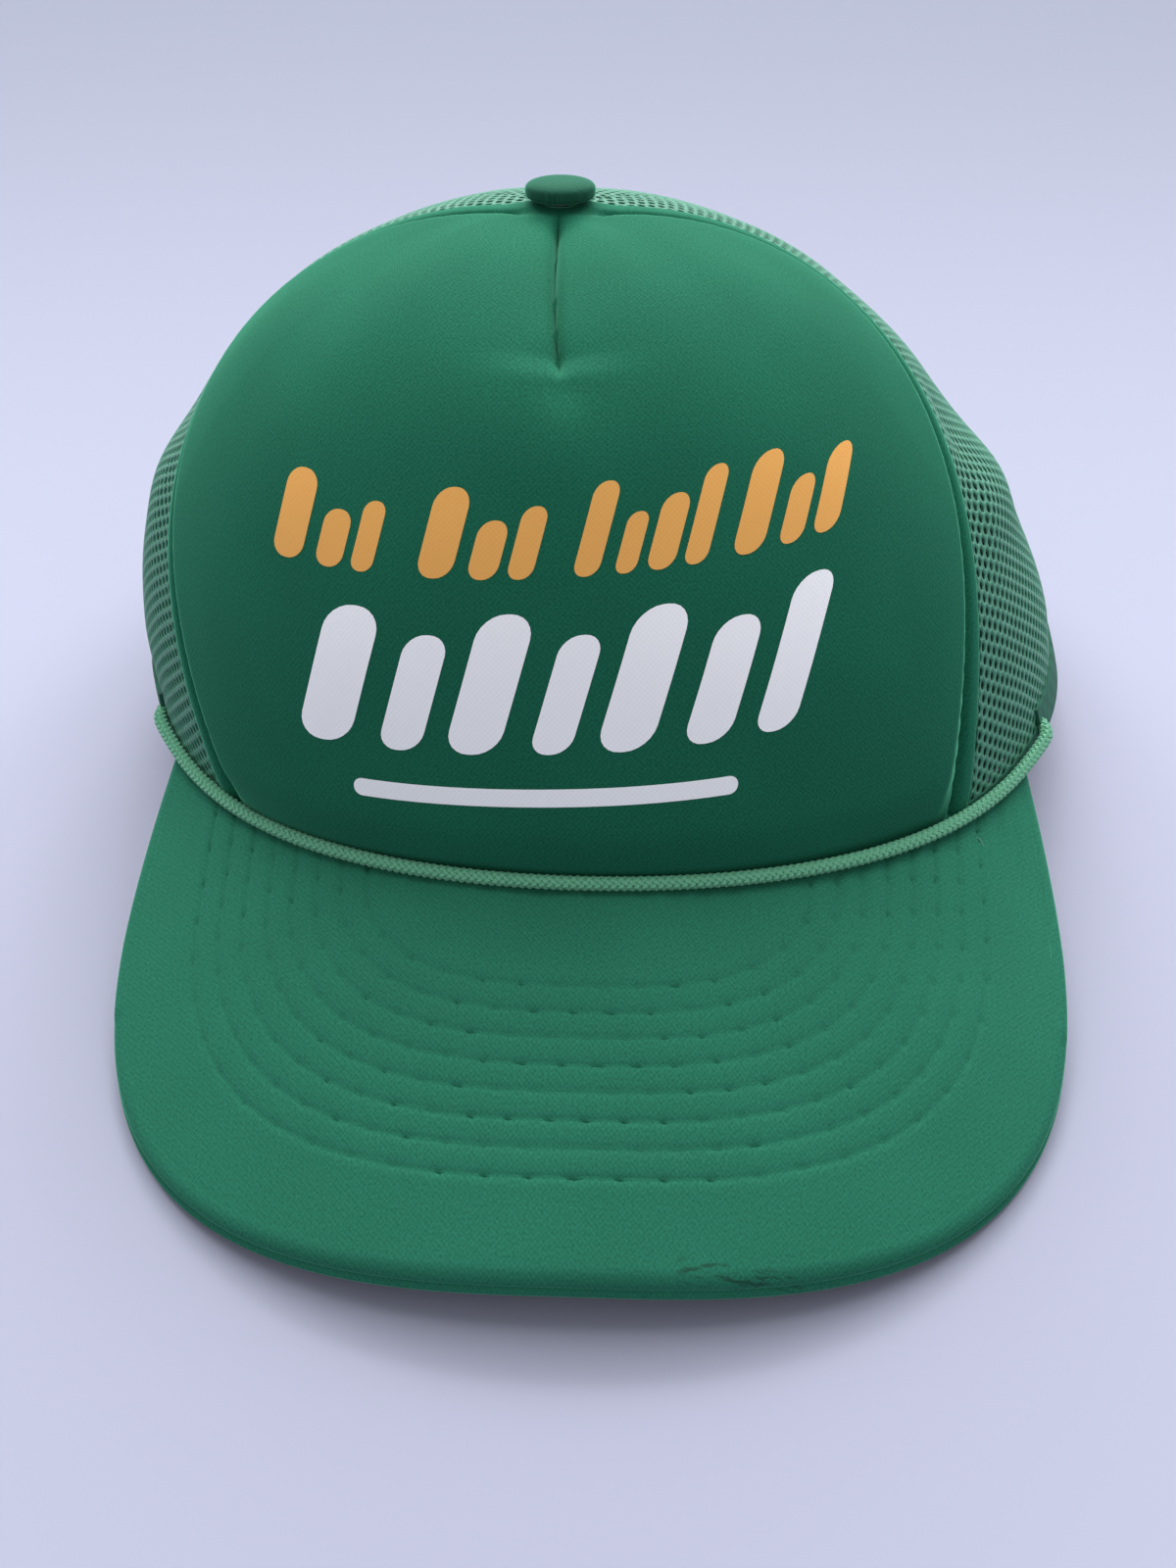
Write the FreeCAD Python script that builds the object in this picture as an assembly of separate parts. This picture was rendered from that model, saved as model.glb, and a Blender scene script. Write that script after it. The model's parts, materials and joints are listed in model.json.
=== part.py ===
"""Five-panel trucker cap with a foam front, four mesh panels, a stitched visor, a braided rope
and a snap closure. Millimetres. The cap is drawn in its own frame: the hem lies near z = 0, the
front faces -Y and the crown rises along +Z. At the end every piece is leaned back and set down,
so that the visor's sides and the back of the hem rest on z = 0."""

import FreeCAD
import Part
import math
import os

from FreeCAD import Vector

# ---- crown: an oval dome that closes under the button ------------------------------------
HALF_WIDTH = 100.3
FRONT_DEPTH = 92.7
BACK_DEPTH = 90.0
HEIGHT = 105.0
APEX_FORWARD = 10.5          # the button sits this far in front of the oval's centre
SWAY = 8.2                   # the empty crown leans this far to the wearer's right
SAG = 2.8                    # and its middle bows the same way
SIDE_WAIST = 0.0315          # share by which the sides are drawn in at half height
FRONT_WAIST = 0.05           # share by which the front is drawn in at half height
SEAM_BASE = math.radians(49.5)      # front seam at the hem, from the centre front
SEAM_TURN = math.radians(28.7)      # how far it runs back on its way up
SEAM_SWEEP = math.radians(34.4)
SIDE_SEAM = math.radians(117.0)     # seam between side and rear mesh, at the hem
SIDE_SEAM_TURN = math.radians(25.0)
TOP_TURN = math.radians(88.2)       # the panels stop in a small ring under the button

# ---- layers, as depths in from the crown's outer face ------------------------------------
CLOTH = 1.0
GAP = 0.1
FOAM = 3.0
TAPE = 0.5
TAPE_HALF = 6.0
BAND = 1.2
BAND_HEIGHT = 32.0
BAND_DEPTH = 4.4
BINDING = 0.7
HEM_WIDTH = 7.0
SEAM_ALLOWANCE = 8.0         # the foam stops this far short of the front seams
TOPSTITCH_INSET = 6.5
THREAD = 0.3

# ---- visor --------------------------------------------------------------------------------
VISOR_HALF_WIDTH = 94.1
VISOR_WIDEST_Y = -85.0
VISOR_FRONT_Y = -159.6
VISOR_SQUARENESS = 2.376     # exponent of the oval front edge
VISOR_SEAM_Y = -91.7
VISOR_SEAM_Z = 2.3
VISOR_SLOPE = 0.415
VISOR_ARCH = 0.0031          # sideways arch, per millimetre
VISOR_DROOP = 0.0017         # forward curl, per millimetre
VISOR_TOP = 2.0
VISOR_BOARD = 1.8
VISOR_UNDER = 0.8
VISOR_ROLL = 1.6             # the top cloth rolls over the board's edge by this much
VISOR_TUCK = 2.5             # the visor's root reaches this far under the crown
HEM_CLEAR = 0.8              # the cloth stops this far above the hem, where the visor's root rises
FOAM_CLEAR = 2.8             # and the foam, which lies deeper, this far
CORNER = math.radians(65.0)  # where the visor ends on the hem, from the centre front
ROWS = 8
FIRST_ROW_INSET = 16.3
ROW_PITCH = 4.97

# ---- rope, button -------------------------------------------------------------------------
ROPE_RADIUS = 1.4
BUTTON_RADIUS = 6.9
BUTTON_HEIGHT = 4.8
BUTTON_TILT = 6.0            # degrees the button sits back from square to the crown
BUTTON_CLOTH = 0.9
BUTTON_LIFT = 1.1            # its underside clears the crown all round

# ---- rear opening and snap closure ---------------------------------------------------------
ARCH_HALF = 48.0
ARCH_HEIGHT = 54.0
ARCH_BINDING = 7.0
STRAP_LOW = 4.0
STRAP_HIGH = 21.0
STRAP_THICK = 1.2
HOLE_TIP = 22.7              # how far the tip of the strap with holes reaches past the centre back
PEG_TIP = 24.5               # and the tip of the strap with pegs
STRAP_HINGE = 41.5           # sideways place of each strap's flex line
HINGE_CLEAR = 0.7
TAB_START = math.radians(146.0)
TAB_DEPTH = 1.9
TAB_END = 44.2               # the tab shows a little past the edge of the opening
OUTER_DEPTH = -0.2           # depth of the strap with holes where the two straps lie together
INNER_DEPTH = 1.35           # depth of the strap with pegs
PEG_COUNT = 7
ENGAGED_SIDE = 2             # pegs engaged on each side of the centre back
PEG_STEP = math.radians(5.4)
PEG_RADIUS = 1.9
HOLE_RADIUS = 2.95
PEG_PROUD = 0.5

# ---- stance: the lean at which visor sides and back hem touch the table together ----------
LEAN = 11.15


def unit_turn(value, low, high):
    """0 below low, 1 above high, and a smooth turn between them."""
    t = min(max((value - low) / (high - low), 0.0), 1.0)
    return t * t * (3 - 2 * t)


def visor_z(x, y):
    """Height of the visor's top face."""
    ahead = min(y - VISOR_SEAM_Y, 0.0)
    return VISOR_SEAM_Z + VISOR_SLOPE * (y - VISOR_SEAM_Y) - VISOR_ARCH * x * x - VISOR_DROOP * ahead * ahead


def oval(phi, grow=0.0):
    """Point of the hem's oval in plan; phi is 0 at the centre front and turns towards +X."""
    depth = FRONT_DEPTH if math.cos(phi) > 0 else BACK_DEPTH
    return (HALF_WIDTH + grow) * math.sin(phi), -(depth + grow) * math.cos(phi)


def hem_z(phi):
    """The hem follows the visor in front and settles to z = 0 behind it."""
    a = abs(phi)
    x, y = oval(min(a, CORNER))
    return visor_z(x, y) * (1 - unit_turn(a, CORNER, 2 * CORNER))


def skin(phi, tau):
    """Point of the crown's outer face; tau is 0 at the hem and a quarter turn at the apex."""
    w = math.sin(tau)
    belly = math.sin(math.pi * w)
    depth = FRONT_DEPTH * (1 - FRONT_WAIST * belly) if math.cos(phi) > 0 else BACK_DEPTH
    x = HALF_WIDTH * (1 - SIDE_WAIST * belly) * math.cos(tau) * math.sin(phi) - SWAY * w - SAG * belly
    y = -depth * math.cos(tau) * math.cos(phi) - APEX_FORWARD * w
    return Vector(x, y, hem_z(phi) * (1 - w) + HEIGHT * w)


def crown(phi, tau, depth=0.0):
    """Point of the crown, depth millimetres in from its outer face."""
    step = 1e-3
    across = skin(phi + step, tau) - skin(phi - step, tau)
    up = skin(phi, tau + step) - skin(phi, tau - step)
    out = across.cross(up).normalize()
    return skin(phi, tau) - out * depth


def front_seam(tau):
    w = math.sin(tau)
    return SEAM_BASE + SEAM_TURN * w + SEAM_SWEEP * w * w


def side_seam(tau):
    return SIDE_SEAM + SIDE_SEAM_TURN * math.sin(tau)


def centre_back(tau):
    return math.pi


def aside(seam, distance):
    """A line beside a seam, at that distance along the crown."""
    return lambda tau: seam(tau) + distance / (HALF_WIDTH * math.cos(tau))


def mirrored(line):
    return lambda tau: -line(tau)


def rise(height):
    """The tau at which the crown has that height above the hem."""
    return math.asin(height / HEIGHT)


def solid_between(outer, inner):
    """Closed solid between two grids of points with the same rows and columns."""
    faces = []
    for grid in (outer, inner):
        surface = Part.BSplineSurface()
        surface.interpolate(grid)
        faces.append(surface.toShape())
    sides = [Part.makeRuledSurface(a, b) for a, b in zip(faces[0].Edges, faces[1].Edges)]
    shell = Part.makeShell(faces + sides)
    shell.sewShape()
    solid = Part.makeSolid(shell.Shells[0] if shell.Shells else shell)
    if solid.Volume < 0:
        solid.reverse()
    return solid


def panel(left, right, low, high, near, far, columns=15, rows=13):
    """Sheet of the crown between two lines and two heights, from depth near to depth far.
    A depth may be a number or a function of phi."""
    def grid(depth):
        points = []
        for j in range(rows):
            tau = low + (high - low) * j / (rows - 1)
            a, b = left(tau), right(tau)
            row = []
            for i in range(columns):
                phi = a + (b - a) * i / (columns - 1)
                row.append(crown(phi, tau, depth(phi) if callable(depth) else depth))
            points.append(row)
        return points
    return solid_between(grid(near), grid(far))


def at(phi):
    return lambda tau: phi


def oval_prism(half_width, height, y_low, y_high):
    """Round-topped prism along Y, as wide and high as the rear opening it shapes."""
    curve = Part.Ellipse(Vector(0, 0, 0), max(half_width, height), min(half_width, height)).toShape()
    face = Part.Face(Part.Wire(curve))
    turn = 90 if height > half_width else 0
    face.rotate(Vector(0, 0, 0), Vector(0, 0, 1), turn)
    face.rotate(Vector(0, 0, 0), Vector(1, 0, 0), 90)
    face.translate(Vector(0, y_high, 0))
    return face.extrude(Vector(0, y_low - y_high, 0))


def arch(grow=0.0):
    return oval_prism(ARCH_HALF + grow, ARCH_HEIGHT + grow, 20.0, 130.0)


# ---- crown panels --------------------------------------------------------------------------
def front_panel():
    edge = aside(front_seam, -GAP)
    return panel(mirrored(edge), edge, rise(HEM_CLEAR), TOP_TURN, 0.0, CLOTH, columns=25, rows=19)


def front_foam():
    edge = aside(front_seam, -SEAM_ALLOWANCE)
    near = CLOTH + GAP
    return panel(mirrored(edge), edge, rise(FOAM_CLEAR), math.radians(80), near, near + FOAM, columns=21)


def side_mesh(side):
    lines = (aside(front_seam, GAP), aside(side_seam, -GAP))
    if side < 0:
        lines = (mirrored(lines[1]), mirrored(lines[0]))
    return panel(*lines, rise(HEM_CLEAR), TOP_TURN, 0.0, CLOTH, rows=19)


def rear_mesh(side):
    lines = (aside(side_seam, GAP), aside(centre_back, -GAP))
    if side < 0:
        lines = (mirrored(lines[1]), mirrored(lines[0]))
    return panel(*lines, 0.0, TOP_TURN, 0.0, CLOTH, rows=19).cut(arch())


def seam_tape(seam, side, low):
    near = CLOTH + GAP
    lines = (aside(seam, -TAPE_HALF), aside(seam, TAPE_HALF))
    if side < 0:
        lines = (mirrored(lines[1]), mirrored(lines[0]))
    return panel(*lines, low, math.radians(74), near, near + TAPE, columns=5)


def topstitch(side):
    """The thread that pinches the foam front beside its seam."""
    lines = (aside(front_seam, -TOPSTITCH_INSET - THREAD), aside(front_seam, -TOPSTITCH_INSET + THREAD))
    if side < 0:
        lines = (mirrored(lines[1]), mirrored(lines[0]))
    return panel(*lines, rise(4.0), math.radians(74), -2 * GAP - THREAD, -2 * GAP, columns=4, rows=17)


def sweatband():
    end = math.radians(149.0)
    return panel(at(-end), at(end), rise(0.6), rise(BAND_HEIGHT), BAND_DEPTH, BAND_DEPTH + BAND,
                 columns=41, rows=6)


def hem_binding(side):
    lines = (at(CORNER + math.radians(4)), at(math.radians(160)))
    if side < 0:
        lines = (mirrored(lines[1]), mirrored(lines[0]))
    strip = panel(*lines, 0.0, rise(HEM_WIDTH), -GAP - BINDING, -GAP, columns=21, rows=4)
    return strip.cut(arch(ARCH_BINDING + 3 * GAP))


def arch_strip(near, far):
    reach = math.radians(46)
    sheet = panel(at(math.pi - reach), at(math.pi + reach), 0.0, rise(ARCH_HEIGHT + 1.5 * ARCH_BINDING),
                  near, far, columns=21, rows=15)
    return sheet.cut(arch()).common(arch(ARCH_BINDING))


# ---- visor ---------------------------------------------------------------------------------
def visor_outline(inset, tuck):
    """Closed plan outline, inset from the visor's edge and reaching tuck under the crown."""
    half = VISOR_HALF_WIDTH - inset
    front = VISOR_FRONT_Y + inset * math.cos(math.atan(VISOR_SLOPE))
    corner_x = oval(CORNER, -VISOR_TUCK)[0] - 0.75 * inset
    corner_y = -(FRONT_DEPTH - tuck) * math.sqrt(1 - (corner_x / (HALF_WIDTH - tuck)) ** 2)
    power = 2 / VISOR_SQUARENESS
    right = []
    for i in range(15):
        q = math.pi / 2 * i / 14
        right.append((half * math.sin(q) ** power,
                      VISOR_WIDEST_Y - (VISOR_WIDEST_Y - front) * math.cos(q) ** power))
    for i in range(1, 7):
        t = i / 6
        right.append((half + (corner_x - half) * t ** 1.6,
                      VISOR_WIDEST_Y + (corner_y - VISOR_WIDEST_Y) * t))
    left = [(-x, y) for x, y in reversed(right[1:])]
    edge = Part.BSplineCurve()
    edge.interpolate([Vector(x, y, 0) for x, y in left + right])
    phi = math.asin(corner_x / (HALF_WIDTH - tuck))
    root = Part.BSplineCurve()
    root.interpolate([Vector(*oval(phi * (1 - i / 7), -tuck), 0) for i in range(15)])
    return Part.Face(Part.Wire([edge.toShape(), root.toShape()]))


def visor_layer(inset, top, bottom, tuck=VISOR_TUCK):
    """Piece of the visor between two levels below its top face."""
    deep = 90.0
    prism = visor_outline(inset, tuck)
    prism.translate(Vector(0, 0, -deep))
    prism = prism.extrude(Vector(0, 0, 2 * deep))

    def grid(level):
        return [[Vector(x, y, visor_z(x, y) - level)
                 for x in [-110 + 220 * i / 20 for i in range(21)]]
                for y in [-175 + 160 * j / 16 for j in range(17)]]
    return solid_between(grid(top), grid(bottom)).common(prism)


def visor_top_cloth():
    thick = VISOR_TOP + VISOR_BOARD + VISOR_UNDER + 2 * GAP
    hollow = visor_layer(VISOR_ROLL, VISOR_TOP, thick + 5, VISOR_TUCK + 0.6)
    return visor_layer(0.0, GAP, thick).cut(hollow)


def visor_board():
    top = VISOR_TOP + GAP
    return visor_layer(VISOR_ROLL + GAP, top, top + VISOR_BOARD)


def visor_under_cloth():
    top = VISOR_TOP + VISOR_BOARD + 2 * GAP
    return visor_layer(VISOR_ROLL + GAP, top, top + VISOR_UNDER)


def visor_stitching():
    crown_foot = Part.makeCylinder(1, 200, Vector(0, 0, -100))
    stretch = FreeCAD.Matrix()
    stretch.scale(HALF_WIDTH + 1, FRONT_DEPTH + 1, 1)
    crown_foot = crown_foot.transformGeometry(stretch)
    rows = []
    for i in range(ROWS):
        inset = FIRST_ROW_INSET + ROW_PITCH * i
        row = visor_layer(inset - THREAD, -THREAD, 0.0).cut(visor_layer(inset + THREAD, -2.0, 2.0))
        rows.append(row.cut(crown_foot))
    return rows


# ---- rope ----------------------------------------------------------------------------------
def arc_path(points):
    """Straight runs joined by tangent arcs, each as large as its two runs allow."""
    edges = []
    start = points[0]
    for a, b, c in zip(points, points[1:], points[2:]):
        back, ahead = (a - b), (c - b)
        cut = 0.45 * min(back.Length, ahead.Length)
        p, q = b + back.normalize() * cut, b + ahead.normalize() * cut
        turn = math.pi - back.getAngle(ahead)
        radius = cut / math.tan(turn / 2)
        middle = (back + ahead).normalize()
        top = b + middle * (radius / math.cos(turn / 2) - radius)
        edges += [Part.LineSegment(start, p).toShape(), Part.Arc(p, top, q).toShape()]
        start = q
    edges.append(Part.LineSegment(start, points[-1]).toShape())
    return Part.Wire(edges)


ROPE_SIDE = [(16.5, -93.5, 3.3), (32.6, -89.8, 2.4), (47.8, -83.7, 1.2), (61.8, -75.5, 0.0),
             (74.1, -65.3, -0.8), (84.5, -53.3, -0.9), (92.7, -40.0, 0.2)]


def rope():
    """The braided rope lies in the angle between crown and visor, from corner to corner of the visor."""
    left = [Vector(-x, y, z) for x, y, z in reversed(ROPE_SIDE)]
    points = left + [Vector(0.0, -94.7, 3.6)] + [Vector(*place) for place in ROPE_SIDE]
    path = arc_path(points)
    circle = Part.Circle(points[0], points[1] - points[0], ROPE_RADIUS)
    tube = path.makePipeShell([Part.Wire(circle.toShape())], True, False)
    return tube


# ---- button --------------------------------------------------------------------------------
def spun(profile):
    """Solid of revolution about the button's axis from (radius, height) points."""
    seat = skin(0.0, math.pi / 2)
    corners = [seat + Vector(r, 0, z) for r, z in profile]
    face = Part.Face(Part.makePolygon(corners + corners[:1]))
    solid = face.revolve(seat, Vector(0, 0, 1), 360)
    solid.rotate(seat, Vector(1, 0, 0), -BUTTON_TILT)
    return solid


def dome(radius, low, high, steps=8):
    """Rounded profile from the rim up to the axis."""
    height = high - low
    return [(radius * math.cos(math.pi / 2 * i / steps) ** 0.7 if i < steps else 0.0,
             low + height * math.sin(math.pi / 2 * i / steps)) for i in range(steps + 1)]


def button_cover():
    low = BUTTON_LIFT
    inner = dome(BUTTON_RADIUS - BUTTON_CLOTH, low, low + BUTTON_HEIGHT - BUTTON_CLOTH)
    outer = dome(BUTTON_RADIUS, low, low + BUTTON_HEIGHT)
    return spun(inner + outer[::-1])


def button_shell():
    low = BUTTON_LIFT
    outer = dome(BUTTON_RADIUS - BUTTON_CLOTH - GAP, low, low + BUTTON_HEIGHT - BUTTON_CLOTH - GAP)
    return spun([(0.0, low)] + outer)


def button_rivet():
    """Post through the crown's apex, clinched to a washer inside."""
    washer = -CLOTH - FOAM - 3 * GAP
    return spun([(0, BUTTON_LIFT - GAP), (1.6, BUTTON_LIFT - GAP), (1.6, washer), (6.5, washer), (6.5, washer - 0.8), (0, washer - 0.8)])


# ---- snap closure --------------------------------------------------------------------------
def strap_blank(x_low, x_high, near, tip_side):
    """Curved strip of the back of the hem; its end on tip_side (1 or -1) is rounded."""
    reach = math.radians(31)
    sheet = panel(at(math.pi - reach), at(math.pi + reach), rise(0.5), rise(STRAP_HIGH + 3),
                  near, lambda phi: near(phi) + STRAP_THICK, columns=41, rows=5)
    middle, radius = (STRAP_LOW + STRAP_HIGH) / 2, (STRAP_HIGH - STRAP_LOW) / 2
    centre = (x_high if tip_side > 0 else x_low) - tip_side * radius
    bar = Part.makeBox(x_high - x_low - radius, 90, 2 * radius,
                       Vector(x_low + (0 if tip_side > 0 else radius), 30, STRAP_LOW))
    cap = Part.makeCylinder(radius, 90, Vector(centre, 30, middle), Vector(0, 1, 0))
    return sheet.common(bar.fuse(cap))


def crossing(phi, tau, near, far, radius):
    """Pin square to the crown's face, from depth near to depth far."""
    a, b = crown(phi, tau, near), crown(phi, tau, far)
    return Part.makeCylinder(radius, (b - a).Length, a, b - a)


def outer_depth(phi):
    """The strap with holes leaves its tab inside the hem and steps out over the other strap."""
    flex = math.pi + math.asin(STRAP_HINGE / HALF_WIDTH)
    return TAB_DEPTH + (OUTER_DEPTH - TAB_DEPTH) * unit_turn(flex - phi, 0.02, 0.15)


def inner_depth(phi):
    flex = math.pi - math.asin(STRAP_HINGE / HALF_WIDTH)
    return TAB_DEPTH + (INNER_DEPTH - TAB_DEPTH) * unit_turn(phi - flex, 0.02, 0.15)


def peg_places(first):
    """Places of the seven pegs or holes, from the tip of a strap towards its root."""
    tau = rise((STRAP_LOW + STRAP_HIGH) / 2)
    return [(math.pi + first * PEG_STEP * (i - ENGAGED_SIDE), tau) for i in range(PEG_COUNT)]


def hole_strap():
    strap = strap_blank(-STRAP_HINGE + HINGE_CLEAR, HOLE_TIP, outer_depth, 1)
    for phi, tau in peg_places(1):
        strap = strap.cut(crossing(phi, tau, -6, 6, HOLE_RADIUS))
    return strap


def peg_strap():
    strap = strap_blank(-PEG_TIP, STRAP_HINGE - HINGE_CLEAR, inner_depth, -1)
    for phi, tau in peg_places(-1):
        near = OUTER_DEPTH - PEG_PROUD
        strap = strap.fuse(crossing(phi, tau, near, inner_depth(phi) + STRAP_THICK / 2, PEG_RADIUS))
    return strap


def strap_tab(side):
    """The sewn end of a strap, inside the hem."""
    lines = (at(TAB_START), at(math.pi))
    if side < 0:
        lines = (mirrored(lines[1]), mirrored(lines[0]))
    sheet = panel(*lines, rise(STRAP_LOW), rise(STRAP_HIGH), TAB_DEPTH, TAB_DEPTH + STRAP_THICK, rows=4)
    opening = Part.makeBox(2 * TAB_END, 100, 80, Vector(-TAB_END, 30, -20))
    return sheet.cut(opening)


def strap_tack(side):
    """Two rows of bar tacks that hold a strap's tab, seen on the hem binding."""
    tacks = []
    for phi in (147.5, 149.5):
        lines = (at(math.radians(phi)), at(math.radians(phi + 0.6)))
        if side < 0:
            lines = (mirrored(lines[1]), mirrored(lines[0]))
        near = -2 * GAP - BINDING
        tacks.append(panel(*lines, rise(1.2), rise(HEM_WIDTH - 0.8), near - THREAD, near, columns=3, rows=4))
    return tacks


# ---- the whole cap -------------------------------------------------------------------------
def pieces():
    found = {
        "front_panel": front_panel(),
        "front_foam": front_foam(),
        "seam_tape_rear": seam_tape(centre_back, 1, rise(ARCH_HEIGHT + ARCH_BINDING + 1)),
        "sweatband": sweatband(),
        "arch_binding": arch_strip(-GAP - BINDING, -GAP),
        "arch_facing": arch_strip(CLOTH + GAP, CLOTH + GAP + TAPE),
        "visor_top_cloth": visor_top_cloth(),
        "visor_board": visor_board(),
        "visor_under_cloth": visor_under_cloth(),
        "visor_stitching": Part.makeCompound(visor_stitching()),
        "rope": rope(),
        "button_cover": button_cover(),
        "button_shell": button_shell(),
        "button_rivet": button_rivet(),
        "hole_strap": hole_strap(),
        "peg_strap": peg_strap(),
        "hole_strap_tab": strap_tab(-1),
        "peg_strap_tab": strap_tab(1),
    }
    for side, word in ((-1, "left"), (1, "right")):
        found["side_mesh_" + word] = side_mesh(side)
        found["rear_mesh_" + word] = rear_mesh(side)
        found["seam_tape_front_" + word] = seam_tape(front_seam, side, rise(FOAM_CLEAR))
        found["seam_tape_side_" + word] = seam_tape(side_seam, side, rise(1.0))
        found["topstitch_" + word] = topstitch(side)
        found["hem_binding_" + word] = hem_binding(side)
        found["strap_tack_" + word] = Part.makeCompound(strap_tack(side))
    return found


def extent(shape, axis):
    """Lowest and highest place of a shape along an axis, from points on its faces."""
    places = [point[axis] for point in shape.tessellate(0.05)[0]]
    return min(places), max(places)


if __name__ == "__main__":
    os.makedirs("parts", exist_ok=True)
    cap = pieces()
    for name, shape in cap.items():
        shape.rotate(Vector(0, 0, 0), Vector(1, 0, 0), -LEAN)
    spans = {name: [extent(shape, axis) for axis in range(3)] for name, shape in cap.items()}
    for name in ("visor_top_cloth", "hem_binding_left", "arch_binding", "rear_mesh_left", "hole_strap"):
        print(name, "low", round(spans[name][2][0], 2))
    low = [min(span[axis][0] for span in spans.values()) for axis in range(3)]
    high = [max(span[axis][1] for span in spans.values()) for axis in range(3)]
    print("size", [round(b - a, 2) for a, b in zip(low, high)], "x", low[0], high[0])
    for name, shape in cap.items():
        shape.translate(Vector(0, -(low[1] + high[1]) / 2, -low[2]))
        shape.exportStep(f"parts/{name}.step")
        print(f"{name:24s} solids {len(shape.Solids)} valid {shape.isValid()} volume {shape.Volume:.0f}")
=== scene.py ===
"""A foam-front trucker cap: knit front panel, four net panels, stitched visor, braided rope, snap
closure. The cap is drawn in millimetres in its own frame, hem near z = 0 and front towards -Y, and
the matrix `stand` puts every point where the leaning cap stands, in metres."""

import bisect
import bmesh
import bpy
import json
import math

from mathutils import Matrix, Vector, noise


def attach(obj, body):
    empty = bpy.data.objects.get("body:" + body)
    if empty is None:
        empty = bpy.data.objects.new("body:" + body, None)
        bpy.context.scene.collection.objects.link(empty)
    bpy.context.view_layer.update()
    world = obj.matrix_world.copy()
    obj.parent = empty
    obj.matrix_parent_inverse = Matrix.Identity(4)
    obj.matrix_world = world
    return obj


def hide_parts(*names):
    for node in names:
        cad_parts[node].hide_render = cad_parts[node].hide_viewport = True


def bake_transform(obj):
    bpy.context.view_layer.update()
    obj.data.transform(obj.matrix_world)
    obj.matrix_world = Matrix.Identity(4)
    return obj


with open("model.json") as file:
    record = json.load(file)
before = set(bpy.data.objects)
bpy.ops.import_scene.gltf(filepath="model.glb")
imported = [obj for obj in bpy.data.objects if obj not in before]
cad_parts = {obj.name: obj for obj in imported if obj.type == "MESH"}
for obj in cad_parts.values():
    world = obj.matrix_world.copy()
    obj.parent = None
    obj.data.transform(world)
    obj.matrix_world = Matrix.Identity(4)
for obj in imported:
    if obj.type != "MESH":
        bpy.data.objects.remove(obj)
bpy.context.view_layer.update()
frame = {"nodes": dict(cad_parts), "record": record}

# ==== Studio ===================================================================================
# A light tent: a pale blue-grey floor with painted shade that darkens it towards the back, a broad soft
# light over the cap, one lower behind it, and two smaller ones to the sides that throw a double soft shadow
# in front of the visor.

scene = bpy.context.scene
scene.view_settings.view_transform = "Standard"

LENS = 49.6
MIDDLE = Vector((0, 0, 0.05))
WHITE_LIGHT = (1.0, 1.0, 1.0)
COOL_LIGHT = (0.97, 0.98, 1.0)

eye = bpy.data.cameras.new("eye")
eye.lens = LENS
eye.clip_start = 0.01
camera = bpy.data.objects.new("eye", eye)
camera.location = (0.0176, -0.3269, 0.3452)
camera.rotation_euler = [math.radians(a) for a in (44.144, 0.942, 2.560)]
scene.collection.objects.link(camera)
scene.camera = camera


def soft_light(name, place, size, power, colour):
    """Square area light that looks from place at the middle of the cap."""
    data = bpy.data.lights.new(name, "AREA")
    data.size = size
    data.energy = power
    data.color = colour
    lamp = bpy.data.objects.new(name, data)
    lamp.location = place
    lamp.rotation_euler = (MIDDLE - Vector(place)).to_track_quat("-Z", "Y").to_euler()
    scene.collection.objects.link(lamp)


soft_light("tent_roof", (0.0, 0.62, 1.15), 1.6, 22.0, WHITE_LIGHT)
soft_light("tent_back", (0.0, 1.25, 0.95), 0.8, 19.0, WHITE_LIGHT)
soft_light("tent_left", (-0.65, 0.75, 0.75), 0.5, 5.9, COOL_LIGHT)
soft_light("tent_right", (0.65, 0.75, 0.75), 0.5, 5.9, COOL_LIGHT)

world = bpy.data.worlds.new("tent")
world.use_nodes = True
sky = world.node_tree.nodes["Background"]
sky.inputs["Color"].default_value = (0.94, 0.96, 1.0, 1)
sky.inputs["Strength"].default_value = 0.66
scene.world = world


class Wire:
    """A shader socket that takes part in plain arithmetic."""

    def __init__(self, finish, socket):
        self.finish = finish
        self.socket = socket

    def math(self, operation, *others):
        values = dict(enumerate([self, *others]))
        return self.finish.node("ShaderNodeMath", {"operation": operation}, values)

    def __add__(self, other):
        return self.math("ADD", other)

    def __sub__(self, other):
        return self.math("SUBTRACT", other)

    def __rsub__(self, other):
        return self.finish.node("ShaderNodeMath", {"operation": "SUBTRACT"}, {0: other, 1: self})

    def __mul__(self, other):
        return self.math("MULTIPLY", other)

    __radd__ = __add__
    __rmul__ = __mul__


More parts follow.
